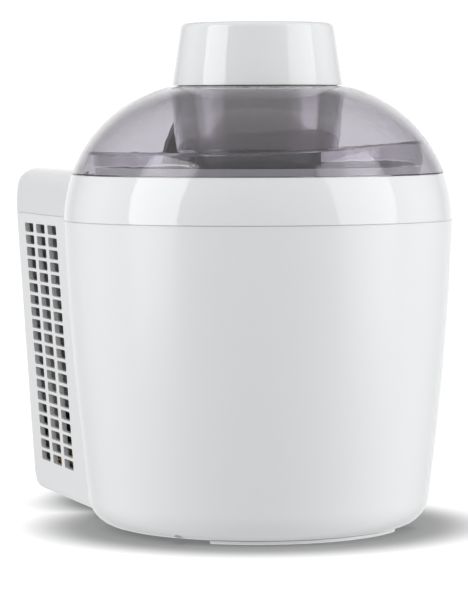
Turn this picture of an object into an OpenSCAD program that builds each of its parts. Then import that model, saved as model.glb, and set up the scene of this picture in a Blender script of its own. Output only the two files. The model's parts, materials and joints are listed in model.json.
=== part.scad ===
// Thermoelectric ice cream maker. A round barrel holds a cooled well with a lift-out bowl, a smoke
// dome carries a lift-out motor unit that turns the paddle, and a rear housing holds the heat sink,
// the fan and the supply. The origin is on the bowl's axis at the floor, +Z is up and -Y is the front.

/* [Body] */
// Radius of the barrel at the seam
barrel_r = 109.8; // [109:0.1:111]
// Height of the seam between the lower and the upper housing
seam_z = 174.5; // [174:0.1:175]
// Height of the deck that the lid sits on
deck_z = 199.8; // [199.5:0.1:200]
// Height of the barrel's underside above the floor
barrel_base_z = 2; // [1.8:0.1:2.2]
// Radius of the rounding between the barrel's wall and its underside
barrel_fillet = 17; // [15:0.5:18]
// Wall thickness of the barrel
barrel_wall = 2.5; // [2.2:0.1:2.8]

/* [Rear housing] */
// Half the width of the rear housing at the seam, 105 mm behind the axis
rear_half_w = 81; // [80:0.5:82]
// Distance from the axis to the rear wall
rear_y = 208; // [206:0.5:210]
// Height of the rear housing's top
rear_top_z = 202; // [201.8:0.1:202.5]
// Height of the rear housing's underside
rear_base_z = 4.5; // [4.2:0.1:4.8]
// Wall thickness of the rear housing
rear_wall = 3; // [2.8:0.1:3.2]
// Rows of vent slots in each side
vent_rows = 20; // [16:1:20]

/* [Lid] */
// Radius of the arc that the ring and the dome share
dome_arc_r = 77.4; // [77:0.1:77.8]
// Height of the arc's centre
dome_arc_z = 174; // [173.5:0.1:174.5]
// Wall thickness of the dome
dome_wall = 2.5; // [2.2:0.1:2.6]
// Height of the dome's top edge
dome_top_z = 249.2; // [249:0.1:249.4]

/* [Motor unit] */
// Height of the cap's top
total_h = 285; // [284:0.5:286]
// Gear module
gear_mod = 0.7; // [0.7]
// Teeth of the output gear
output_teeth = 40; // [40]
// Teeth of the idler's large wheel
wheel_teeth = 36; // [36]
// Teeth of the idler's small pinion, and of the motor's pinion
pinion_teeth = 12; // [12]

/* [Bowl] */
// Inner radius of the bowl
bowl_r = 56.5; // [56:0.1:57]
// Height of the bowl's underside
bowl_base_z = 104; // [104:0.5:106]
// Height of the bowl's rim
bowl_top_z = 199.7; // [199.6:0.1:199.8]

/* [Hidden] */
fine = 120;

// Rear housing: its sides lean outwards with height and come together towards the rear.
side_lean = 3.78;
side_taper = 0.10;
side_ref_y = 105;
rear_corner_r = 16;
top_rear_r = 27;
base_rear_r = 12;
shoulder_r = 9;
base_side_r = 3;
rear_front_y = 20;

// Groove along the seam, gap between the barrel and the rear shell, and height of the cover's ledge.
seam_groove = 0.5;
shell_gap = 0.05;
ledge_z = 4.6;

// Vent slots: the front column's top slot, the steps between slots, and a slot's size.
vent_top = [118.7, 165.6];
vent_pitch = [25.3, 7.33];
vent_size = [19, 5.5];
vent_column_lean = 0.02;

dome_arc_x = barrel_r - dome_arc_r;
lid_gap = 0.4;
lid_base_z = deck_z + lid_gap;
spigot_r = 92.5;
spigot_top_z = 204;

// Cooling well and what stands behind it.
well_r = 58.6;
well_wall = 1.5;
well_base_z = 101;
deck_floor_z = deck_z - 2.8;
block_y = 84;
cold_z = 129;
sink_base_t = 6;
sink_y = block_y + 3.8;
sink_half_w = 50;
sink_h = 90;
fin_end_y = sink_y + 36;
fan_y = fin_end_y + 1.2;
fan_w = 92;
fan_t = 25;
fan_hole = 41.25;
clamp_x = 27;
block_half_w = 32;
foam_r = 79;
foam_base_z = 86;
foam_top_z = 194.6;
flange_r = 67;

// Supply board and rear-wall fittings.
board_z = 22;
board_t = 1.6;
board_top = board_z + board_t;
board_post = [[-48, 114], [48, 114], [-48, 176], [48, 176]];
inlet_x = -30;
switch_x = 30;
fitting_z = 42;
switch_pivot_y = rear_y - 3;

// Routes of the leads: mains and fan leads are listed one by one, the others are drawn once per side.
mains_route = [
    [[-34, 182, 42], [-34, 178, 43], [-30, 174, 50], [-18, 171, 52], [-11, 170.5, 46], [-10.5, 170.5, 31]],
    [[-26, 182, 42], [-24, 178, 43], [-10, 176, 48], [10, 178, 50], [26, 180, 46], [29, 181, 40], [30, 182, 39]],
    [[30, 182, 45], [29, 178, 48], [20, 173, 52], [6, 171, 50], [-2, 170.5, 44], [-3.5, 170.5, 31]]
];
fan_route = [
    [[0, 152.2, 113], [0, 154, 106], [8, 155, 84], [24, 155, 56], [38, 154, 34], [38, 154, 24.8]],
    [[3, 152.2, 113], [3, 154, 106], [11, 155, 84], [27, 155, 56], [41, 154, 34], [41, 154, 24.8]]
];
module_route = [[16, 86, 107], [20, 86, 100], [36, 86, 81], [42, 92, 72], [46, 104, 60], [46, 130, 40],
                [44, 140, 30], [44, 141, 25.2]];
lid_route = [[5, 84, 186.6], [6, 85, 182], [20, 90, 179], [50, 100, 178], [56, 118, 172], [56, 126, 150],
             [54, 128, 80], [52, 130, 40], [50, 131, 27], [50, 131, 25.1]];

// Posts and screws that close the housing.
post_r = 4.5;
long_post = [for (a = [215, 325]) 86 * [cos(a), sin(a)]];
rear_post = [for (s = [-1, 1]) [s * 50, 192]];
cover_hole = [for (a = [60, 180, 300]) 62 * [cos(a), sin(a)]];
foot_at = [for (s = [-1, 1]) [s * 26, 160]];
foot_r = 9;

// Motor unit.
cap_base_z = 249.9;
cap_base_r = 48.2;
cap_top_r = 43;
cap_wall = 2.4;
lip_z = 212;
lip_t = 2;
cone_floor_z = lip_z + lip_t + 0.1;
cone_floor_t = 2.2;
gearbox_base_z = 199.6;
gearbox_r = 36;
plate_z = cone_floor_z + cone_floor_t;
plate_t = 1.5;
motor_z = plate_z + plate_t;
motor_r = 16;
motor_h = 34;
idler_x = gear_mod * (output_teeth + pinion_teeth) / 2;
motor_x = idler_x - gear_mod * (wheel_teeth + pinion_teeth) / 2;
low_gear_z = 202.4;
low_gear_t = 5.4;
high_gear_z = 208.8;
high_gear_t = 4;
screw_ring_r = 31.5;
shaft_hex = 8;
shaft_base_z = 182;
journal_z = 196.4;
cap_post_r = 38.6;
rim_t = 1.2;

// Plug in the deck that feeds the lid, and the duct that climbs the dome from it.
contact_y = 84;
contact_x = 5;
duct_half_w = 18;
duct_t = 5;

screw_d = 2.9;
screw_hole = 1.5;

// Radius of the barrel's wall at height z
function barrel_at(z) = barrel_r - 0.036 * (seam_z - z) - 0.00031 * pow(seam_z - z, 2);

// Closed outline whose corners are rounded, each to its own radius
function rounded(pts, radii, steps = 7) = [
    for (i = [0 : len(pts) - 1])
        let (
            p = pts[i],
            a = pts[(i + len(pts) - 1) % len(pts)] - p,
            b = pts[(i + 1) % len(pts)] - p,
            ua = a / norm(a),
            ub = b / norm(b),
            half = acos(ua * ub) / 2,
            c = p + (ua + ub) / norm(ua + ub) * radii[i] / sin(half),
            s = p + ua * radii[i] / tan(half) - c,
            turn = sign(ua[1] * ub[0] - ua[0] * ub[1]) * (180 - 2 * half),
            start = atan2(s[1], s[0])
        )
        each radii[i] == 0 ? [p]
            : [for (k = [0 : steps]) c + radii[i] * [cos(start + turn * k / steps),
                                                     sin(start + turn * k / steps)]]
];

// Outline of an involute gear, centred on a tooth at angle 0, with its teeth thinned for backlash
function involute(base, r) = let (t = sqrt(max(0, pow(r / base, 2) - 1))) t * 180 / PI - atan(t);
function gear_outline(n, steps = 4, thin = 0.6) =
    let (
        pitch = gear_mod * n / 2,
        base = pitch * cos(20),
        tip = pitch + 0.8 * gear_mod,
        root = pitch - 1.1 * gear_mod,
        start = max(base, root),
        half = 90 / n + involute(base, pitch) - thin / n * 10
    )
    [for (i = [0 : n - 1], side = [-1, 1], k = [0 : steps + 1])
        let (
            j = side < 0 ? k : steps + 1 - k,
            r = j == 0 ? root : start + (tip - start) * (j - 1) / steps,
            a = 360 * i / n + side * (half - involute(base, max(r, base)))
        )
        r * [cos(a), sin(a)]];

module gear(n, height, turn = 0) {
    rotate([0, 0, turn]) linear_extrude(height) polygon(gear_outline(n));
}

module at_each(points, z = 0) {
    for (p = points) translate([p[0], p[1], z]) children();
}

// Pan-head screw with its head under z = 0 and its shank above
module screw(length, head_d = 5.4, head_h = 1.6) {
    translate([0, 0, -head_h / 2]) cylinder(d = screw_d, h = length + head_h / 2, $fn = 24);
    difference() {
        translate([0, 0, -head_h]) cylinder(d = head_d, h = head_h, $fn = 32);
        for (a = [0, 90]) rotate([0, 0, a]) translate([-1.6, -0.3, -head_h - 1]) cube([3.2, 0.6, 1.8]);
    }
}

// Solid of the barrel, its wall and underside set in by inset
module barrel(inset, top = seam_z, bands = 12) {
    base = barrel_base_z + inset;
    bend = barrel_fillet - inset;
    low_z = barrel_base_z + barrel_fillet;
    low_r = barrel_at(low_z) - inset;
    rotate_extrude($fn = fine) polygon(concat(
        [[0, base]],
        [for (a = [0 : 10 : 90]) [low_r - bend + bend * sin(a), base + bend - bend * cos(a)]],
        [for (i = [1 : bands]) let (z = low_z + (seam_z - low_z) * i / bands) [barrel_at(z) - inset, z]],
        [[barrel_at(seam_z) - inset, top], [0, top]]
    ));
}

// Solid under the arc that the ring and the dome share, from z0 to z1, set in by inset
module arc_body(inset, z0, z1) {
    reach = barrel_r + 1;
    rotate_extrude($fn = fine) intersection() {
        union() {
            translate([dome_arc_x, dome_arc_z]) circle(dome_arc_r - inset, $fn = 180);
            square([dome_arc_x, dome_arc_z + dome_arc_r - inset]);
        }
        translate([0, z0]) square([reach, z1 - z0]);
    }
}

// How far an edge rounded to radius r stands back, at distance d from the face it runs into
function round_off(r, d) = d >= r ? 0 : r - sqrt(max(0, r * r - pow(r - d, 2)));

// Outline of the rear housing at height z, set in by inset
function rear_outline(z, inset) =
    let (
        from_top = rear_top_z - inset - z,
        from_base = z - rear_base_z - inset,
        front = rear_front_y + 2 * inset,
        back = rear_y - inset - round_off(top_rear_r - inset, from_top)
            - round_off(base_rear_r - inset, from_base),
        side = rear_half_w - inset + tan(side_lean) * (z - seam_z)
            - round_off(shoulder_r - inset, from_top) - round_off(base_side_r, from_base),
        side_front = side - side_taper * (front - side_ref_y),
        side_back = side - side_taper * (back - side_ref_y),
        corner = rear_corner_r - inset + round_off(top_rear_r - inset, from_top) / 4
    )
    rounded([[side_front, front], [side_back, back], [-side_back, back], [-side_front, front]],
            [0, corner, corner, 0]);

// Rear housing as a stack of its outlines, close together where its edges are rounded
module rear_body(inset) {
    top = rear_top_z - inset;
    base = rear_base_z + inset;
    levels = concat(
        [for (a = [0 : 15 : 90]) base + (base_rear_r - inset) * (1 - cos(a))],
        [for (a = [90 : -10 : 0]) top - (top_rear_r - inset) * (1 - cos(a))]
    );
    rings = [for (z = levels) [for (p = rear_outline(z, inset)) [p[0], p[1], z]]];
    n = len(rings[0]);
    last = len(rings) - 1;
    polyhedron(
        points = [for (ring = rings) each ring],
        faces = concat(
            [[for (j = [0 : n - 1]) j], [for (j = [n - 1 : -1 : 0]) last * n + j]],
            [for (i = [0 : last - 1], j = [0 : n - 1])
                let (k = (j + 1) % n)
                each [[i * n + j, (i + 1) * n + j, (i + 1) * n + k], [i * n + j, (i + 1) * n + k, i * n + k]]]
        )
    );
}

module below(z) {
    intersection() {
        children();
        translate([-150, -150, -10]) cube([300, 400, z + 10]);
    }
}

module above(z) {
    intersection() {
        children();
        translate([-150, -150, z]) cube([300, 400, 150]);
    }
}

module vent_outline() {
    w = vent_size[0] / 2;
    h = vent_size[1] / 2;
    polygon(rounded([[w, -h], [w, h], [-w, h], [-w, -h]], [1.2, 1.2, 1.2, 1.2], 2));
}

module vents() {
    for (side = [-1, 1], row = [0 : vent_rows - 1], col = [0 : 2]) {
        drop = row * vent_pitch[1];
        translate([side * 78, vent_top[0] + col * vent_pitch[0] - drop * vent_column_lean,
                   vent_top[1] - drop])
            rotate([90, 0, 90]) linear_extrude(48, center = true) vent_outline();
    }
}

module rear_fitting_cut(x, size) {
    translate([x - size[0] / 2, rear_y - 20, fitting_z - size[1] / 2]) cube([size[0], 40, size[1]]);
}

// Lower part of an outer solid, hollowed out, with the cuts that the two lower mouldings share
module lower_shell() {
    cover_r = 79.2;
    post_top = seam_z - 0.1;
    difference() {
        children(0);
        difference() {
            union() {
                barrel(barrel_wall, seam_z + 1);
                rear_body(rear_wall);
            }
            at_each(concat(long_post, rear_post)) cylinder(r = post_r, h = post_top, $fn = 32);
            at_each(board_post) cylinder(r = 3.6, h = board_z, $fn = 24);
            translate([0, 0, ledge_z]) difference() {
                cylinder(r = 84, h = 2.4, $fn = fine);
                translate([0, 0, -1]) cylinder(r = 70, h = 4, $fn = fine);
            }
            at_each(cover_hole, ledge_z) cylinder(r = 9, h = 2.4, $fn = 32);
            at_each(cover_hole, ledge_z) cylinder(r = 4, h = 12, $fn = 24);
        }
        translate([0, 0, -1]) cylinder(r = cover_r, h = ledge_z + 1, $fn = fine);
        at_each(concat(long_post, rear_post), -1) cylinder(r = 1.7, h = 200, $fn = 24);
        at_each(concat(long_post, rear_post), -1) cylinder(r = 3.1, h = 161, $fn = 24);
    }
}

module barrel_shell() color("white") {
    difference() {
        lower_shell() union() {
            below(seam_z - seam_groove) barrel(0);
            below(seam_z - 0.1) barrel(seam_groove);
        }
        at_each(cover_hole, ledge_z - 1) cylinder(r = screw_hole, h = 12, $fn = 24);
    }
}

module rear_shell() color("white") {
    difference() {
        lower_shell() difference() {
            union() {
                below(seam_z - seam_groove) rear_body(0);
                below(seam_z - 0.1) rear_body(seam_groove);
            }
            barrel(-shell_gap, seam_z + 1);
        }
        vents();
        at_each(board_post, board_z - 9) cylinder(r = screw_hole, h = 10, $fn = 24);
        at_each(foot_at, rear_base_z - 1) cylinder(r = 3, h = 10, $fn = 24);
        rear_fitting_cut(inlet_x, [27, 20]);
        rear_fitting_cut(switch_x, [19.4, 13.4]);
    }
}

module upper_housing() color("white") {
    lid_clear_r = 105.6;
    difference() {
        union() {
            arc_body(0, seam_z, deck_z);
            above(seam_z) rear_body(0);
            translate([0, 0, deck_floor_z]) cylinder(r = spigot_r, h = spigot_top_z - deck_floor_z, $fn = fine);
        }
        difference() {
            union() {
                arc_body(barrel_wall, seam_z - 1, deck_floor_z);
                rear_body(rear_wall);
            }
            at_each(concat(long_post, rear_post), seam_z + 0.1) cylinder(r = post_r, h = 60, $fn = 32);
        }
        translate([0, 0, deck_z]) difference() {
            cylinder(r = lid_clear_r, h = 20, $fn = fine);
            translate([0, 0, -1]) cylinder(r = spigot_r, h = 30, $fn = fine);
        }
        translate([0, 0, deck_z]) cylinder(r = spigot_r - 2.5, h = 20, $fn = fine);
        translate([0, 0, deck_floor_z - 5]) cylinder(r = well_r + well_wall + 0.1, h = 30, $fn = fine);
        translate([0, 0, bowl_top_z - rim_t]) cylinder(r = flange_r + 1, h = 20, $fn = fine);
        at_each(concat(long_post, rear_post), seam_z - 1) cylinder(r = screw_hole, h = 13, $fn = 24);
        translate([-9, contact_y - 4.5, deck_floor_z - 5]) cube([18, 9, 20]);
    }
}

module bottom_cover() color("white") {
    difference() {
        union() {
            translate([0, 0, barrel_base_z + 0.1]) cylinder(r = 79, h = 2.5, $fn = fine);
            cylinder(r1 = 11.5, r2 = 12, h = 3, $fn = 64);
            rotate([0, 0, 226]) rotate_extrude(angle = 88, $fn = fine)
                polygon([[75, 0], [81.2, 0], [81.7, 0.5], [81.7, 1.9], [78, 1.9], [78, 3], [75, 3]]);
        }
        at_each(cover_hole, -1) cylinder(r = 1.7, h = 10, $fn = 24);
    }
}

module rubber_feet() color("dimgray") {
    at_each(foot_at) {
        cylinder(r = foot_r, h = rear_base_z, $fn = 48);
        cylinder(r = 2.9, h = rear_base_z + 5, $fn = 24);
    }
}

module cover_screws() color("silver") {
    at_each(cover_hole, barrel_base_z + 0.1) screw(12);
}

module housing_screws() color("silver") {
    at_each(concat(long_post, rear_post), 160) screw(24);
}

module well_insulation() color("gainsboro") {
    difference() {
        translate([0, 0, foam_base_z]) cylinder(r = foam_r, h = foam_top_z - foam_base_z, $fn = fine);
        translate([0, 0, well_base_z]) cylinder(r = well_r + well_wall, h = 120, $fn = fine);
        translate([-block_half_w - 1, 0, cold_z - 23]) cube([2 * block_half_w + 2, 100, 46]);
    }
}

module cooling_well() color("silver") {
    difference() {
        union() {
            translate([0, 0, well_base_z])
                cylinder(r = well_r + well_wall, h = foam_top_z - well_base_z + 1, $fn = fine);
            translate([0, 0, foam_top_z]) cylinder(r = flange_r, h = 1.6, $fn = fine);
        }
        translate([0, 0, well_base_z + 2.5]) cylinder(r = well_r, h = 120, $fn = fine);
    }
}

module well_seal() color("dimgray") {
    base = foam_top_z + 1.6;
    translate([0, 0, base]) difference() {
        cylinder(r = flange_r, h = deck_floor_z - base, $fn = fine);
        translate([0, 0, -1]) cylinder(r = well_r + well_wall, h = 10, $fn = fine);
    }
}

module along_y(x, y, z) {
    translate([x, y, z]) rotate([-90, 0, 0]) children();
}

module cold_block() color("silver") {
    difference() {
        translate([-block_half_w, 20, cold_z - 22]) cube([2 * block_half_w, block_y - 20, 44]);
        translate([0, 0, cold_z - 40]) cylinder(r = well_r + well_wall, h = 80, $fn = fine);
        for (s = [-1, 1]) along_y(s * clamp_x, block_y - 12, cold_z) cylinder(r = screw_hole, h = 20, $fn = 24);
    }
}

module peltier_module() color("ivory") {
    translate([-20, block_y, cold_z - 20]) cube([40, sink_y - block_y, 40]);
}

module fan_corners(y) {
    for (s = [-1, 1], t = [-1, 1]) along_y(s * fan_hole, y, cold_z + t * fan_hole) children();
}

module heat_sink() color("darkgray") {
    fins = 20;
    pitch = sink_h / fins;
    difference() {
        union() {
            translate([-sink_half_w, sink_y, cold_z - sink_h / 2]) cube([2 * sink_half_w, sink_base_t, sink_h]);
            for (i = [0 : fins - 1])
                translate([-sink_half_w, sink_y, cold_z - sink_h / 2 + (i + 0.5) * pitch - 0.6])
                    cube([2 * sink_half_w, fin_end_y - sink_y, 1.2]);
        }
        for (s = [-1, 1]) along_y(s * clamp_x, sink_y - 1, cold_z) cylinder(r = 1.7, h = 20, $fn = 24);
        for (s = [-1, 1]) along_y(s * clamp_x, sink_y + sink_base_t, cold_z) cylinder(r = 3.4, h = 60, $fn = 32);
        fan_corners(sink_y + 2) cylinder(r = screw_hole, h = 60, $fn = 24);
    }
}

module clamp_screws() color("silver") {
    for (s = [-1, 1]) translate([s * clamp_x, sink_y + sink_base_t, cold_z]) rotate([90, 0, 0]) screw(18);
}

module fan_frame() color("black") {
    bore_r = 44.5;
    struts = 3;
    difference() {
        union() {
            difference() {
                translate([-fan_w / 2, fan_y, cold_z - fan_w / 2]) cube([fan_w, fan_t, fan_w]);
                along_y(0, fan_y - 1, cold_z) cylinder(r = bore_r, h = fan_t + 2, $fn = fine);
            }
            along_y(0, fan_y + fan_t - 4, cold_z) cylinder(r = 19, h = 3.6, $fn = 48);
            for (i = [0 : struts - 1])
                along_y(0, fan_y + fan_t - 3.5, cold_z) rotate([0, 0, 20 + i * 360 / struts])
                    translate([10, -2, 0]) cube([35.5, 4, 2.5]);
            along_y(0, fan_y + 4, cold_z) cylinder(r = 1.5, h = fan_t - 5, $fn = 24);
        }
        fan_corners(fan_y - 1) cylinder(r = 1.7, h = fan_t + 2, $fn = 24);
    }
}

module fan_rotor() color("black") {
    blades = 7;
    hub_t = 17;
    along_y(0, fan_y + 2, cold_z) difference() {
        union() {
            cylinder(r = 19, h = hub_t, $fn = 64);
            intersection() {
                union() for (i = [0 : blades - 1]) rotate([0, 0, i * 360 / blades])
                    translate([16, 0, hub_t / 2]) rotate([48, 0, 0]) translate([0, -11, -0.8]) cube([40, 22, 1.6]);
                translate([0, 0, 0]) cylinder(r = 43, h = hub_t, $fn = fine);
            }
        }
        translate([0, 0, 1.5]) cylinder(r = 1.55, h = hub_t, $fn = 24);
    }
}

module fan_screws() color("silver") {
    for (s = [-1, 1], t = [-1, 1])
        translate([s * fan_hole, fan_y + fan_t, cold_z + t * fan_hole]) rotate([90, 0, 0]) screw(58);
}

module supply_board() color("peru") {
    difference() {
        translate([-54, 108, board_z]) cube([108, 74, board_t]);
        at_each(board_post, board_z - 1) cylinder(r = 1.7, h = 5, $fn = 24);
    }
}

module board_screws() color("silver") {
    at_each(board_post, board_top) mirror([0, 0, 1]) screw(9);
}

module transformer() color("goldenrod") {
    translate([-36, 128, board_top]) {
        translate([0, 4, 0]) cube([32, 20, 26]);
        translate([5, 0, 4]) cube([22, 28, 18]);
    }
}

module capacitors() color("darkslategray") {
    for (p = [[10, 124], [26, 124], [10, 142]]) translate([p[0], p[1], board_top])
        cylinder(r = 6.5, h = 25, $fn = 48);
    translate([22, 138, board_top]) cube([6, 18, 15]);
    translate([-38, 112, board_top]) cube([18, 8, 14]);
}

module terminal_block() color("seagreen") {
    difference() {
        translate([-14, 166, board_top]) cube([28, 9, 11]);
        for (i = [0 : 3]) translate([-10.5 + 7 * i, 170.5, board_top + 4]) cylinder(r = 2, h = 10, $fn = 24);
    }
}

module power_inlet() color("black") {
    pin_pitch = 8.6;
    difference() {
        union() {
            translate([inlet_x - 13.4, rear_y - 20, fitting_z - 9.9]) cube([26.8, 21, 19.8]);
            translate([inlet_x - 16, rear_y, fitting_z - 12.5]) cube([32, 1.6, 25]);
        }
        for (s = [-1, 1]) along_y(inlet_x + s * pin_pitch / 2, rear_y - 14, fitting_z)
            cylinder(r = 4.7, h = 30, $fn = 48);
        translate([inlet_x - pin_pitch / 2, rear_y - 14, fitting_z - 4.7]) cube([pin_pitch, 30, 9.4]);
        for (s = [-1, 1]) along_y(inlet_x + s * pin_pitch / 2, rear_y - 30, fitting_z)
            cylinder(r = 1.2, h = 30, $fn = 24);
    }
}

module inlet_pins() color("silver") {
    for (s = [-1, 1]) along_y(inlet_x + s * 4.3, rear_y - 24, fitting_z) cylinder(r = 1.2, h = 21, $fn = 24);
}

module switch_frame() color("black") {
    difference() {
        union() {
            translate([switch_x - 9.5, rear_y - 17, fitting_z - 6.5]) cube([19, 18, 13]);
            translate([switch_x - 11, rear_y, fitting_z - 8]) cube([22, 1.5, 16]);
        }
        translate([switch_x - 8.3, rear_y - 10, fitting_z - 5.6]) cube([16.6, 20, 11.2]);
        translate([switch_x - 20, switch_pivot_y, fitting_z]) rotate([0, 90, 0]) cylinder(r = 1.25, h = 40, $fn = 24);
    }
    for (z = [-3, 3]) translate([switch_x - 0.4, rear_y - 24, fitting_z + z - 2.4]) cube([0.8, 7.5, 4.8]);
}

module switch_rocker() color("darkred") {
    half_w = 8;
    tilt = 8;
    translate([switch_x, switch_pivot_y, fitting_z]) rotate([tilt, 0, 0]) {
        translate([-half_w, 0, 0]) rotate([90, 0, 90]) linear_extrude(2 * half_w)
            polygon([[-2.5, -4.5], [6.2, -4.5], [5, 0], [6.2, 4.5], [-2.5, 4.5]]);
        translate([-9.3, 0, 0]) rotate([0, 90, 0]) cylinder(r = 1.2, h = 18.6, $fn = 24);
    }
}

// Insulated lead along a route of points
module lead(points, r) {
    for (i = [1 : len(points) - 1]) hull() {
        translate(points[i - 1]) sphere(r, $fn = 8);
        translate(points[i]) sphere(r, $fn = 8);
    }
}

module mains_leads() color("saddlebrown") {
    for (route = mains_route) lead(route, 1.3);
}

module module_leads() color("firebrick") {
    for (side = [0, 1]) mirror([side, 0, 0]) lead(module_route, 1.2);
}

module fan_leads() color("black") {
    for (route = fan_route) lead(route, 1);
}

module deck_socket() color("black") {
    difference() {
        translate([-9, contact_y - 4.5, deck_floor_z - 9]) cube([18, 9, deck_z - deck_floor_z + 9]);
        for (s = [-1, 1]) translate([s * contact_x, contact_y, deck_floor_z - 5]) cylinder(r = 1.6, h = 20, $fn = 24);
    }
}

module lid_leads() color("firebrick") {
    for (side = [0, 1]) mirror([side, 0, 0]) lead(lid_route, 1.1);
}

module lid_dome() color("dimgray", 0.6) {
    well_top_r = 49.6;
    well_low_r = 45.6;
    difference() {
        union() {
            difference() {
                arc_body(0, lid_base_z, dome_top_z);
                arc_body(dome_wall, lid_base_z - 1, dome_top_z - dome_wall);
            }
            translate([0, 0, lip_z])
                cylinder(r1 = well_low_r, r2 = well_top_r, h = dome_top_z - lip_z, $fn = fine);
        }
        translate([0, 0, lip_z + lip_t])
            cylinder(r1 = well_low_r - 1.4, r2 = well_top_r - 1.6, h = dome_top_z - lip_z - lip_t + 0.01,
                     $fn = fine);
        translate([0, 0, lip_z - 1]) cylinder(r = 38, h = 10, $fn = fine);
    }
}

// Ring inside the dome: level on one half, and rising as a ramp on the other
module lid_collar() color("dimgray", 0.6) {
    ring_in = 90.3;
    base_z = spigot_top_z + 0.6;
    level_z = 212.4;
    flange_t = 1.6;
    ramp = 3.46;
    split = 65;
    difference() {
        intersection() {
            arc_body(dome_wall + 0.1, base_z, 224);
            union() for (side = [0, 1]) intersection() {
                rotate([0, 0, split]) translate([-150, side == 0 ? 0 : -150, base_z]) cube([300, 150, 40]);
                translate([0, 0, level_z]) rotate([0, 0, split]) rotate([side == 0 ? 0 : -ramp, 0, 0]) union() {
                    translate([0, 0, -40]) cylinder(r = spigot_r, h = 40, $fn = fine);
                    translate([0, 0, -flange_t]) cylinder(r = 110, h = flange_t, $fn = fine);
                }
            }
        }
        translate([0, 0, base_z - 1]) cylinder(r = ring_in, h = 40, $fn = fine);
        translate([-duct_half_w - 0.5, 0, base_z - 1]) cube([2 * duct_half_w + 1, 120, 40]);
    }
}

module lid_duct() color("black") {
    foot_z = spigot_top_z + 1;
    foot_top_z = foot_z + 4;
    difference() {
        intersection() {
            difference() {
                arc_body(dome_wall + 0.1, foot_z, 246);
                arc_body(dome_wall + duct_t, foot_top_z, 240);
                arc_body(dome_wall + duct_t + 20, foot_z - 1, foot_top_z);
            }
            translate([-duct_half_w, 52, foot_z - 1]) cube([2 * duct_half_w, 60, 60]);
        }
        for (s = [-1, 1]) translate([s * contact_x, contact_y, foot_z - 1]) cylinder(r = 1.2, h = 4, $fn = 24);
    }
}

module lid_contacts() color("gold") {
    for (s = [-1, 1]) translate([s * contact_x, contact_y, 194]) cylinder(r = 1.2, h = spigot_top_z + 4 - 194, $fn = 24);
}

function cap_at(z) = cap_base_r + (cap_top_r - cap_base_r) * (z - cap_base_z) / (total_h - cap_base_z);

module cap_solid(inset) {
    top = total_h - inset;
    base = cap_base_z - (inset > 0 ? 1 : 0);
    rotate_extrude($fn = fine) polygon(rounded(
        [[0, base], [cap_at(cap_base_z) - inset, base], [cap_at(total_h) - inset, top], [0, top]],
        [0, 0, 3.4 - inset, 0]
    ));
}

module around_z(r, angles) {
    for (a = angles) translate([r * cos(a), r * sin(a), 0]) children();
}
cap_screw_at = [30, 150, 270];
gearbox_screw_at = [60, 180, 300];

module motor_cap() color("white") {
    post_base = 224;
    difference() {
        union() {
            difference() {
                cap_solid(0);
                cap_solid(cap_wall);
            }
            around_z(cap_post_r, cap_screw_at) translate([0, 0, post_base])
                cylinder(r = 2.6, h = total_h - 1 - post_base, $fn = 32);
        }
        around_z(cap_post_r, cap_screw_at) cylinder(r = screw_hole, h = post_base + 12, $fn = 24);
    }
}

module motor_housing() color("oldlace") {
    wall = 2.2;
    low_r = 43.6;
    top_z = cap_base_z - 0.5;
    top_r = 47.2;
    spigot_z = 256;
    floor_top = cone_floor_z + cone_floor_t;
    difference() {
        union() {
            translate([0, 0, cone_floor_z]) cylinder(r1 = low_r, r2 = top_r, h = top_z - cone_floor_z, $fn = fine);
            translate([0, 0, top_z - 1]) cylinder(r1 = cap_at(249) - cap_wall - 0.4,
                                                  r2 = cap_at(spigot_z) - cap_wall - 0.4,
                                                  h = spigot_z - top_z + 1, $fn = fine);
        }
        difference() {
            translate([0, 0, floor_top]) cylinder(r1 = low_r - wall, r2 = top_r - wall - 0.6, h = 45, $fn = fine);
            around_z(cap_post_r, cap_screw_at) translate([0, 0, floor_top - 1])
                cylinder(r = 2.6, h = 223.9 - floor_top + 1, $fn = 32);
        }
        translate([0, 0, cone_floor_z - 1]) cylinder(r = 29, h = 10, $fn = fine);
        around_z(cap_post_r, cap_screw_at) cylinder(r = 1.7, h = 240, $fn = 24);
        around_z(cap_post_r, cap_screw_at) cylinder(r = 2.9, h = cone_floor_z + 1.8, $fn = 24);
        around_z(screw_ring_r, gearbox_screw_at) cylinder(r = 1.7, h = 240, $fn = 24);
    }
}

module gearbox_cover() color("black") {
    wall = 2.2;
    floor_top = gearbox_base_z + 2;
    height = cone_floor_z - gearbox_base_z;
    boss_r = 8;
    difference() {
        union() {
            translate([0, 0, gearbox_base_z]) cylinder(r = gearbox_r, h = height, $fn = fine);
            translate([0, 0, journal_z + 0.2]) cylinder(r = boss_r, h = 5, $fn = 64);
        }
        difference() {
            translate([0, 0, floor_top]) cylinder(r = gearbox_r - wall, h = 20, $fn = fine);
            around_z(screw_ring_r, gearbox_screw_at) translate([0, 0, gearbox_base_z]) cylinder(r = 3, h = 30, $fn = 32);
        }
        translate([0, 0, journal_z - 1]) cylinder(r = 5, h = 20, $fn = 48);
        around_z(screw_ring_r, gearbox_screw_at) translate([0, 0, gearbox_base_z - 1]) cylinder(r = 1.7, h = 30, $fn = 24);
        around_z(screw_ring_r, gearbox_screw_at) translate([0, 0, gearbox_base_z - 1]) cylinder(r = 2.9, h = 3, $fn = 32);
        translate([idler_x, 0, gearbox_base_z + 1]) cylinder(r = screw_hole, h = 5, $fn = 24);
    }
}

module shaft_bush() color("goldenrod") {
    translate([0, 0, journal_z + 0.2]) difference() {
        cylinder(r = 5, h = 5.4, $fn = 48);
        translate([0, 0, -1]) cylinder(r = 3.05, h = 10, $fn = 48);
    }
}

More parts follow.
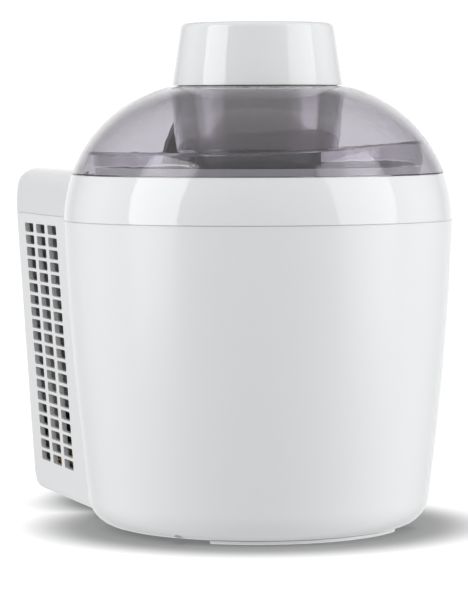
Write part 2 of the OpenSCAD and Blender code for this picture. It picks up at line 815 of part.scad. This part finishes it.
module output_shaft() color("silver") {
    translate([0, 0, shaft_base_z]) cylinder(d = shaft_hex / cos(30), h = journal_z - shaft_base_z, $fn = 6);
    translate([0, 0, journal_z - 1]) cylinder(r = 3, h = low_gear_z + low_gear_t - journal_z + 1, $fn = 48);
}

module output_gear() color("ivory") {
    translate([0, 0, low_gear_z]) difference() {
        gear(output_teeth, low_gear_t);
        translate([0, 0, -1]) cylinder(r = 3, h = 10, $fn = 48);
    }
}

module idler_gear() color("ivory") {
    translate([idler_x, 0, 0]) difference() {
        union() {
            translate([0, 0, low_gear_z]) gear(pinion_teeth, high_gear_z - low_gear_z + 1, 180 / pinion_teeth);
            translate([0, 0, high_gear_z]) gear(wheel_teeth, high_gear_t, 180 / wheel_teeth);
        }
        cylinder(r = 1.56, h = 240, $fn = 24);
    }
}

module idler_pin() color("silver") {
    translate([idler_x, 0, gearbox_base_z + 1]) cylinder(r = screw_hole, h = motor_z - gearbox_base_z - 1, $fn = 24);
}

module gear_plate() color("silver") {
    translate([0, 0, plate_z]) difference() {
        cylinder(r = 34.5, h = plate_t, $fn = fine);
        translate([motor_x, 0, -1]) cylinder(r = 4.2, h = 5, $fn = 32);
        translate([idler_x, 0, -1]) cylinder(r = screw_hole, h = 5, $fn = 24);
        for (s = [-1, 1]) translate([motor_x, s * 9, -1]) cylinder(r = screw_hole, h = 5, $fn = 24);
        around_z(screw_ring_r, gearbox_screw_at) translate([0, 0, -1]) cylinder(r = screw_hole, h = 5, $fn = 24);
    }
}

module motor_can() color("gray") {
    translate([motor_x, 0, motor_z]) difference() {
        union() {
            cylinder(r = motor_r, h = motor_h, $fn = 96);
            translate([0, 0, motor_h - 1]) cylinder(r = 5, h = 3.5, $fn = 32);
        }
        translate([0, 0, 3]) cylinder(r = motor_r - 1.5, h = motor_h - 5, $fn = 96);
        translate([0, 0, -1]) cylinder(r = 1.55, h = motor_h + 2, $fn = 24);
        for (s = [-1, 1]) translate([0, s * 9, -1]) cylinder(r = screw_hole, h = 5, $fn = 24);
    }
}

module motor_magnets() color("dimgray") {
    for (a = [-55, 125]) translate([motor_x, 0, motor_z + 6]) rotate([0, 0, a])
        rotate_extrude(angle = 110, $fn = 96) translate([11.8, 0]) square([motor_r - 1.5 - 11.8, 22]);
}

module motor_rotor() color("peru") {
    translate([motor_x, 0, 0]) {
        translate([0, 0, high_gear_z - 0.2]) cylinder(r = 1.5, h = motor_z + motor_h + 1 - high_gear_z, $fn = 24);
        translate([0, 0, motor_z + 6]) difference() {
            cylinder(r = 11.3, h = 22, $fn = 96);
            for (a = [0 : 120 : 240]) rotate([0, 0, a]) translate([5, -1, -1]) cube([10, 2, 24]);
        }
        translate([0, 0, motor_z + 27]) cylinder(r = 4, h = 4, $fn = 32);
    }
}

module motor_pinion() color("goldenrod") {
    translate([motor_x, 0, high_gear_z]) difference() {
        gear(pinion_teeth, high_gear_t);
        translate([0, 0, -1]) cylinder(r = 1.5, h = 10, $fn = 24);
    }
}

module motor_screws() color("silver") {
    for (s = [-1, 1]) translate([motor_x, s * 9, plate_z]) screw(4, 5, 1.4);
}

module gearbox_screws() color("silver") {
    around_z(screw_ring_r, gearbox_screw_at) translate([0, 0, gearbox_base_z + 2]) screw(17);
}

module cap_screws() color("silver") {
    around_z(cap_post_r, cap_screw_at) translate([0, 0, cone_floor_z + 1.8]) screw(19);
}

module bowl() color("silver") {
    wall = 1.5;
    bend = 8;
    out_r = bowl_r + wall;
    difference() {
        union() {
            rotate_extrude($fn = fine) polygon(rounded(
                [[0, bowl_base_z], [out_r, bowl_base_z], [out_r, bowl_top_z - 0.1], [0, bowl_top_z - 0.1]],
                [0, bend, 0, 0]));
            translate([0, 0, bowl_top_z - rim_t]) cylinder(r = flange_r - 0.5, h = rim_t, $fn = fine);
        }
        difference() {
            rotate_extrude($fn = fine) polygon(rounded(
                [[0, bowl_base_z + wall], [bowl_r, bowl_base_z + wall], [bowl_r, bowl_top_z + 5],
                 [0, bowl_top_z + 5]],
                [0, bend - wall, 0, 0]));
            translate([0, 0, bowl_base_z]) cylinder(r = 3, h = 7.5, $fn = 32);
        }
    }
}

module paddle() color("white") {
    base_z = bowl_base_z + 2.6;
    hub_top = 195;
    hub_r = 8;
    wing_t = 3;
    reach = bowl_r - 2.5;
    wing_top = 176;
    difference() {
        union() {
            translate([0, 0, base_z]) cylinder(r = hub_r, h = hub_top - base_z, $fn = 64);
            for (a = [0, 180]) rotate([0, 0, a]) rotate([90, 0, 0])
                translate([0, 0, -wing_t / 2]) linear_extrude(wing_t) difference() {
                    polygon(rounded(
                        [[0, base_z], [reach, base_z], [reach, wing_top], [reach - 9, wing_top],
                         [reach - 9, 124], [0, 124]],
                        [0, 7, 4, 4, 8, 0]));
                    polygon(rounded([[14, base_z + 4.5], [reach - 13, base_z + 4.5], [reach - 13, 119.5],
                                     [14, 119.5]], [3, 3, 3, 3]));
                }
            for (a = [0, 180]) rotate([0, 0, a]) translate([0, 0, 152]) rotate([90, 0, 0])
                translate([0, 0, -wing_t / 2]) cube([reach - 2, 6, wing_t]);
        }
        translate([0, 0, shaft_base_z - 1]) cylinder(d = (shaft_hex + 0.5) / cos(30), h = 40, $fn = 6);
        translate([0, 0, base_z - 1]) cylinder(r = 3.2, h = bowl_base_z + 8.5 - base_z + 1, $fn = 32);
    }
}

barrel_shell();
rear_shell();
upper_housing();
bottom_cover();
rubber_feet();
cover_screws();
housing_screws();
well_insulation();
cooling_well();
well_seal();
cold_block();
peltier_module();
heat_sink();
clamp_screws();
fan_frame();
fan_rotor();
fan_screws();
supply_board();
board_screws();
transformer();
capacitors();
terminal_block();
power_inlet();
inlet_pins();
switch_frame();
switch_rocker();
mains_leads();
module_leads();
fan_leads();
deck_socket();
lid_leads();
lid_dome();
lid_collar();
lid_duct();
lid_contacts();
motor_cap();
motor_housing();
gearbox_cover();
gear_plate();
motor_can();
motor_magnets();
motor_rotor();
motor_pinion();
motor_screws();
gearbox_screws();
cap_screws();
idler_pin();
idler_gear();
output_gear();
output_shaft();
shaft_bush();
bowl();
paddle();
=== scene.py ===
"""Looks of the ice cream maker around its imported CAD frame: materials, edges, floor, light and camera."""
import json
import math

import bpy
from mathutils import Matrix, Vector

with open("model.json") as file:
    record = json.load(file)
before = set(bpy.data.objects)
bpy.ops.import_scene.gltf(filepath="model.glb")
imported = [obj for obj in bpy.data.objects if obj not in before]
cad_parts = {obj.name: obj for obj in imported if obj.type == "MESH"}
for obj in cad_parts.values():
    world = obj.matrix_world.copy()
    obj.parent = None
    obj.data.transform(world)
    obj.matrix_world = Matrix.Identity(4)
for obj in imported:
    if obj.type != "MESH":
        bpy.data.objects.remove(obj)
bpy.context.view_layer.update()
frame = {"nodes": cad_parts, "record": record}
nodes = frame["nodes"]
MM = 0.001

# ---------------------------------------------------------------- node helpers


class Shader:
    """A material under construction: one Principled BSDF and the nodes that feed it."""

    def __init__(self, name, **values):
        self.material = bpy.data.materials.new(name)
        self.material.use_nodes = True
        self.tree = self.material.node_tree
        self.bsdf = self.tree.nodes["Principled BSDF"]
        self.set(**values)
        self.place = self.add("ShaderNodeTexCoord").outputs["Object"]

    def set(self, **values):
        for key, value in values.items():
            self.bsdf.inputs[key.replace("_", " ")].default_value = value

    def add(self, kind, **inputs):
        node = self.tree.nodes.new(kind)
        for key, value in inputs.items():
            node.inputs[key.replace("_", " ")].default_value = value
        return node

    def link(self, source, target):
        self.tree.links.new(source, target)

    def noise(self, scale, detail=3.0, roughness=0.5, stretch=None):
        """Noise over the object's own coordinates; scale counts features per metre."""
        node = self.add("ShaderNodeTexNoise", Scale=scale, Detail=detail, Roughness=roughness)
        where = self.place
        if stretch:
            mapping = self.add("ShaderNodeMapping", Scale=stretch)
            self.link(where, mapping.inputs["Vector"])
            where = mapping.outputs["Vector"]
        self.link(where, node.inputs["Vector"])
        return node.outputs["Fac"]

    def spread(self, factor, low, high):
        """Factor 0..1 turned into a value between low and high."""
        node = self.add("ShaderNodeMapRange", From_Min=0.15, From_Max=0.85, To_Min=low, To_Max=high)
        self.link(factor, node.inputs["Value"])
        return node.outputs["Result"]

    def tint(self, factor, low, high):
        """Factor 0..1 turned into a colour between low and high."""
        node = self.add("ShaderNodeValToRGB")
        node.color_ramp.elements[0].position = 0.3
        node.color_ramp.elements[1].position = 0.7
        node.color_ramp.elements[0].color = (*low, 1)
        node.color_ramp.elements[1].color = (*high, 1)
        self.link(factor, node.inputs["Fac"])
        self.link(node.outputs["Color"], self.bsdf.inputs["Base Color"])

    def bump(self, factor, height):
        node = self.add("ShaderNodeBump", Strength=1.0, Distance=height)
        self.link(factor, node.inputs["Height"])
        self.link(node.outputs["Normal"], self.bsdf.inputs["Normal"])


def shade(colour, change):
    return tuple(min(1.0, c * (1 + change)) for c in colour)


def moulded(name, colour, roughness, texture=0.00002, grain=2600, coat=0.0, polish=0.03, vary=0.02):
    """Moulded plastic: fine surface texture, and colour and gloss that wander slightly."""
    s = Shader(name, Roughness=roughness, IOR=1.49, Coat_Weight=coat, Coat_Roughness=polish, Coat_IOR=1.6)
    cloud = s.noise(9, 2)
    s.tint(cloud, shade(colour, -vary), shade(colour, vary))
    s.link(s.spread(s.noise(25, 1), roughness * (1 - 2 * vary), roughness * (1 + 2 * vary)),
           s.bsdf.inputs["Roughness"])
    s.bump(s.noise(grain, 2, 0.6), texture)
    return s.material


def metal(name, colour, roughness, stretch, grain=900, depth=0.00001, vary=0.06):
    """Metal with a drawn, turned or rolled grain that runs along one direction."""
    s = Shader(name, Metallic=1.0, Roughness=roughness)
    lines = s.noise(grain, 3, 0.6, stretch)
    s.tint(s.noise(60, 3), shade(colour, -vary), shade(colour, vary))
    s.link(s.spread(lines, roughness * 0.75, roughness * 1.35), s.bsdf.inputs["Roughness"])
    s.bump(lines, depth)
    return s.material


def smoke_plastic():
    """Clear smoke-tinted plastic, polished, with the faint waviness of moulding."""
    s = Shader("smoke_clear", Roughness=0.0, IOR=1.49, Transmission_Weight=1.0)
    s.tint(s.noise(5, 1), (0.705, 0.685, 0.725), (0.715, 0.70, 0.74))
    s.bump(s.noise(14, 1), 0.00012)
    return s.material


def pitted_foam():
    """Closed-cell foam: small pits and a mottled cream colour."""
    s = Shader("cell_foam", Roughness=0.9)
    s.tint(s.noise(240, 4), (0.62, 0.59, 0.50), (0.80, 0.78, 0.70))
    s.bump(s.noise(900, 3), 0.0003)
    return s.material


def wound_copper():
    s = Shader("wound_copper", Metallic=0.7, Roughness=0.35)
    s.tint(s.noise(1500, 2, 0.5, (0.1, 0.1, 1)), (0.36, 0.13, 0.04), (0.72, 0.32, 0.14))
    s.bump(s.noise(2600, 1, 0.4, (0.05, 0.05, 1)), 0.0002)
    return s.material


WHITE = (0.575, 0.582, 0.59)
MATERIALS = {
    "white_shell": moulded("satin_white", WHITE, 0.24, 0.000004, 3200, vary=0.006),
    "white_gloss": moulded("polished_white", WHITE, 0.07, 0.000001, 500, coat=0.5, polish=0.015, vary=0.006),
    # Motor housing: a warm grey, much darker than the white shells, under a full clear coat
    "grey_shell": moulded("polished_grey", (0.33, 0.29, 0.26), 0.06, 0.000001, 500, coat=1.0, polish=0.01,
                          vary=0.03),
    "smoke": smoke_plastic(),
    "black_plastic": moulded("textured_black", (0.012, 0.012, 0.012), 0.42, 0.00003, 2200, vary=0.3),
    "black_gloss": moulded("polished_black", (0.010, 0.010, 0.011), 0.14, 0.000003, 500, vary=0.2),
    "rubber": moulded("rubber", (0.025, 0.025, 0.025), 0.75, 0.00004, 1500, vary=0.25),
    "steel": metal("zinc_steel", (0.60, 0.60, 0.60), 0.30, (1, 1, 1)),
    "aluminium": metal("spun_aluminium", (0.80, 0.81, 0.82), 0.26, (0.4, 0.4, 14)),
    "foam": pitted_foam(),
    "ceramic": moulded("alumina", (0.82, 0.81, 0.78), 0.6, 0.00002, 1800),
    "board": moulded("phenolic_board", (0.26, 0.13, 0.045), 0.45, 0.00002, 1200, vary=0.15),
    "tape": moulded("winding_tape", (0.60, 0.42, 0.06), 0.35, 0.00003, 700, vary=0.1),
    "component": moulded("sleeved_black", (0.02, 0.022, 0.035), 0.3, 0.00001, 900, vary=0.2),
    "green_plastic": moulded("green_terminal", (0.02, 0.16, 0.07), 0.4, 0.00002, 1200, vary=0.1),
    "brass": metal("drawn_brass", (0.74, 0.53, 0.22), 0.25, (1, 1, 0.1)),
    "bronze": metal("sintered_bronze", (0.46, 0.28, 0.12), 0.45, (1, 1, 1), 2400, 0.00004),
    "copper": wound_copper(),
    "nylon": moulded("acetal", (0.78, 0.75, 0.66), 0.35, 0.00001, 1500),
    "paddle_white": moulded("paddle_white", (0.80, 0.80, 0.78), 0.22, 0.000006, 1400),
    "brown_wire": moulded("brown_sleeve", (0.09, 0.035, 0.012), 0.4, 0.00001, 1200, vary=0.1),
    "red_wire": moulded("red_sleeve", (0.38, 0.012, 0.010), 0.4, 0.00001, 1200, vary=0.1),
    "black_wire": moulded("black_sleeve", (0.012, 0.012, 0.012), 0.4, 0.00001, 1200, vary=0.2),
}

for entry in frame["record"]["subparts"]:
    piece = nodes[entry["node"]]
    piece.data.materials.clear()
    piece.data.materials.append(MATERIALS[entry["material_slot"]])
    for face in piece.data.polygons:
        face.material_index = 0

# ---------------------------------------------------------------- edges

WELD_DISTANCE = 0.000004
CREASE = math.radians(34)

# Width in mm of the small rounding that a mould leaves along a node's edges
MOULD_EDGES = {
    "barrel_shell": 0.35, "rear_shell": 0.35, "upper_housing": 0.35, "bottom_cover": 0.3, "motor_cap": 0.3,
    "motor_housing": 0.3, "gearbox_cover": 0.4, "motor_can": 0.8, "lid_duct": 0.5, "deck_socket": 0.3,
    "bowl": 0.3, "cooling_well": 0.3, "cold_block": 0.5, "peltier_module": 0.2, "fan_frame": 0.5,
    "rubber_feet": 0.6, "power_inlet": 0.4, "switch_frame": 0.3, "switch_rocker": 0.4, "supply_board": 0.2,
    "transformer": 0.8, "capacitors": 0.8, "terminal_block": 0.4,
}


def add_modifier(piece, name, kind, **values):
    modifier = piece.modifiers.new(name, kind)
    for key, value in values.items():
        setattr(modifier, key, value)


def dress(node, piece):
    """Smooth shading over the joined surface, with rounded edges where the list gives a width."""
    for face in piece.data.polygons:
        face.use_smooth = True
    add_modifier(piece, "join", "WELD", merge_threshold=WELD_DISTANCE)
    if node in MOULD_EDGES:
        add_modifier(piece, "edges", "BEVEL", width=MOULD_EDGES[node] * MM, segments=2, limit_method="ANGLE",
                     angle_limit=CREASE, use_clamp_overlap=True, miter_outer="MITER_ARC")
        add_modifier(piece, "normals", "WEIGHTED_NORMAL", mode="FACE_AREA", keep_sharp=True)
    else:
        add_modifier(piece, "creases", "EDGE_SPLIT", split_angle=CREASE)


# ---------------------------------------------------------------- floor

FLOOR_REACH = 8
FLOOR_GLOW = 0.72
# Each round part of the footprint: its centre's y, and the radii where the contact shadow is full and gone
CONTACT_SHADOWS = ((0.0, 0.098, 0.146), (0.12, 0.050, 0.100))


def open_floor(s):
    """0 in the contact shadow, 1 on the open floor."""
    lesser = s.add("ShaderNodeMath")
    lesser.operation = "MINIMUM"
    for socket, (centre_y, dark_within, bright_from) in enumerate(CONTACT_SHADOWS):
        away = s.add("ShaderNodeVectorMath")
        away.operation = "DISTANCE"
        away.inputs[1].default_value = (0, centre_y, 0)
        s.link(s.place, away.inputs[0])
        share = s.add("ShaderNodeMapRange", From_Min=dark_within, From_Max=bright_from)
        share.interpolation_type = "SMOOTHSTEP"
        s.link(away.outputs["Value"], share.inputs["Value"])
        s.link(share.outputs["Result"], lesser.inputs[socket])
    return lesser.outputs["Value"]


def make_floor():
    """Pale floor, self-lit away from the object so that it carries on as the white beyond.
    Only the camera sees it: the light that reaches the object comes from the room and the lamps."""
    mesh = bpy.data.meshes.new("floor")
    corners = [(x * FLOOR_REACH, y * FLOOR_REACH, 0) for x, y in ((-1, -1), (1, -1), (1, 1), (-1, 1))]
    mesh.from_pydata(corners, [], [(0, 1, 2, 3)])
    floor = bpy.data.objects.new("floor", mesh)
    bpy.context.scene.collection.objects.link(floor)
    s = Shader("pale_floor", Roughness=0.6, Emission_Color=(1, 1, 1, 1))
    s.tint(s.noise(2, 2), (0.30, 0.30, 0.30), (0.32, 0.32, 0.32))
    glow = s.add("ShaderNodeMath")
    glow.operation = "MULTIPLY"
    glow.inputs[1].default_value = FLOOR_GLOW
    s.link(open_floor(s), glow.inputs[0])
    s.link(glow.outputs["Value"], s.bsdf.inputs["Emission Strength"])
    mesh.materials.append(s.material)
    floor.visible_diffuse = False
    floor.visible_glossy = False
    floor.visible_shadow = False


# ---------------------------------------------------------------- light

AZIMUTH = math.radians(25)
LOOK_AT_AXIS = Vector((math.sin(AZIMUTH), math.cos(AZIMUTH), 0))
OBJECT_MIDDLE = Vector((0, 0, 0.14))
# Brightness of the room around the object, from straight behind the camera (0) to straight beyond (1)
ROOM = ((0.0, 0.60), (0.35, 0.90), (0.65, 1.02), (0.90, 0.43), (0.985, 1.02))
# The curve node holds values up to 1, so it holds the room's brightness as a share of this
BRIGHTEST = 2


def softbox(name, azimuth, distance, height, size, power, mirrored=True):
    """Rectangular area light; azimuth counts degrees to the right of the camera, seen from the object.
    A light that isn't mirrored adds no reflection of its own."""
    around = Matrix.Rotation(math.radians(azimuth), 3, "Z")
    where = around @ (-LOOK_AT_AXIS) * distance
    where.z = height
    data = bpy.data.lights.new(name, "AREA")
    data.shape = "RECTANGLE"
    data.size, data.size_y = size
    data.energy = power
    lamp = bpy.data.objects.new(name, data)
    bpy.context.scene.collection.objects.link(lamp)
    lamp.location = where
    lamp.rotation_euler = (OBJECT_MIDDLE - where).to_track_quat("-Z", "Y").to_euler()
    lamp.visible_glossy = mirrored


def make_world():
    """White beyond the object, greyer on the camera's side of the room and beside the white."""
    world = bpy.data.worlds.new("studio")
    bpy.context.scene.world = world
    world.use_nodes = True
    tree = world.node_tree
    place = tree.nodes.new("ShaderNodeTexCoord")
    along = tree.nodes.new("ShaderNodeVectorMath")
    along.operation = "DOT_PRODUCT"
    along.inputs[1].default_value = LOOK_AT_AXIS
    reach = tree.nodes.new("ShaderNodeMapRange")
    reach.inputs["From Min"].default_value = -1
    ramp = tree.nodes.new("ShaderNodeFloatCurve")
    curve = ramp.mapping.curves[0]
    while len(curve.points) < len(ROOM):
        curve.points.new(0.5, 0.5)
    for point, (position, brightness) in zip(curve.points, ROOM):
        point.location = (position, brightness / BRIGHTEST)
        point.handle_type = "VECTOR"
    ramp.mapping.update()
    level = tree.nodes.new("ShaderNodeMath")
    level.operation = "MULTIPLY"
    level.inputs[1].default_value = BRIGHTEST
    tree.links.new(place.outputs["Generated"], along.inputs[0])
    tree.links.new(along.outputs["Value"], reach.inputs["Value"])
    tree.links.new(reach.outputs["Result"], ramp.inputs["Value"])
    tree.links.new(ramp.outputs["Value"], level.inputs[0])
    tree.links.new(level.outputs["Value"], tree.nodes["Background"].inputs["Strength"])
    tree.nodes["Background"].inputs["Color"].default_value = (1, 1, 1, 1)


def make_light():
    softbox("left_box", -62, 1.3, 0.55, (0.8, 1.5), 7.9)
    softbox("right_box", 66, 1.3, 0.55, (1.0, 1.5), 6.0)
    softbox("left_fill", -75, 1.5, 0.25, (0.8, 1.2), 5.2, mirrored=False)
    softbox("front_fill", 0, 2.0, 0.25, (1.2, 1.2), 0.9, mirrored=False)
    softbox("right_fill", 75, 1.5, 0.25, (0.8, 1.2), 9.6, mirrored=False)
    softbox("overhead", 0, 0.3, 1.7, (1.6, 1.6), 1.85)
    make_world()


# ---------------------------------------------------------------- camera

EYE_DISTANCE = 1.7495
EYE_HEIGHT = 0.2343
LENS = 185.4
TURN_LEFT = math.radians(0.447)
PITCH_DOWN = math.radians(3.46)
ROLL = -0.0034


def make_camera():
    data = bpy.data.cameras.new("camera")
    data.lens = LENS
    data.clip_end = 30
    camera = bpy.data.objects.new("camera", data)
    bpy.context.scene.collection.objects.link(camera)
    camera.location = -LOOK_AT_AXIS * EYE_DISTANCE + Vector((0, 0, EYE_HEIGHT))
    heading = Matrix.Rotation(TURN_LEFT, 3, "Z") @ LOOK_AT_AXIS
    aim = heading * math.cos(PITCH_DOWN) - Vector((0, 0, math.sin(PITCH_DOWN)))
    facing = aim.to_track_quat("-Z", "Y").to_matrix() @ Matrix.Rotation(ROLL, 3, "Z")
    camera.rotation_euler = facing.to_euler()
    bpy.context.scene.camera = camera


for name, piece in nodes.items():
    dress(name, piece)
make_floor()
make_light()
make_camera()
bpy.context.scene.view_settings.view_transform = "Standard"
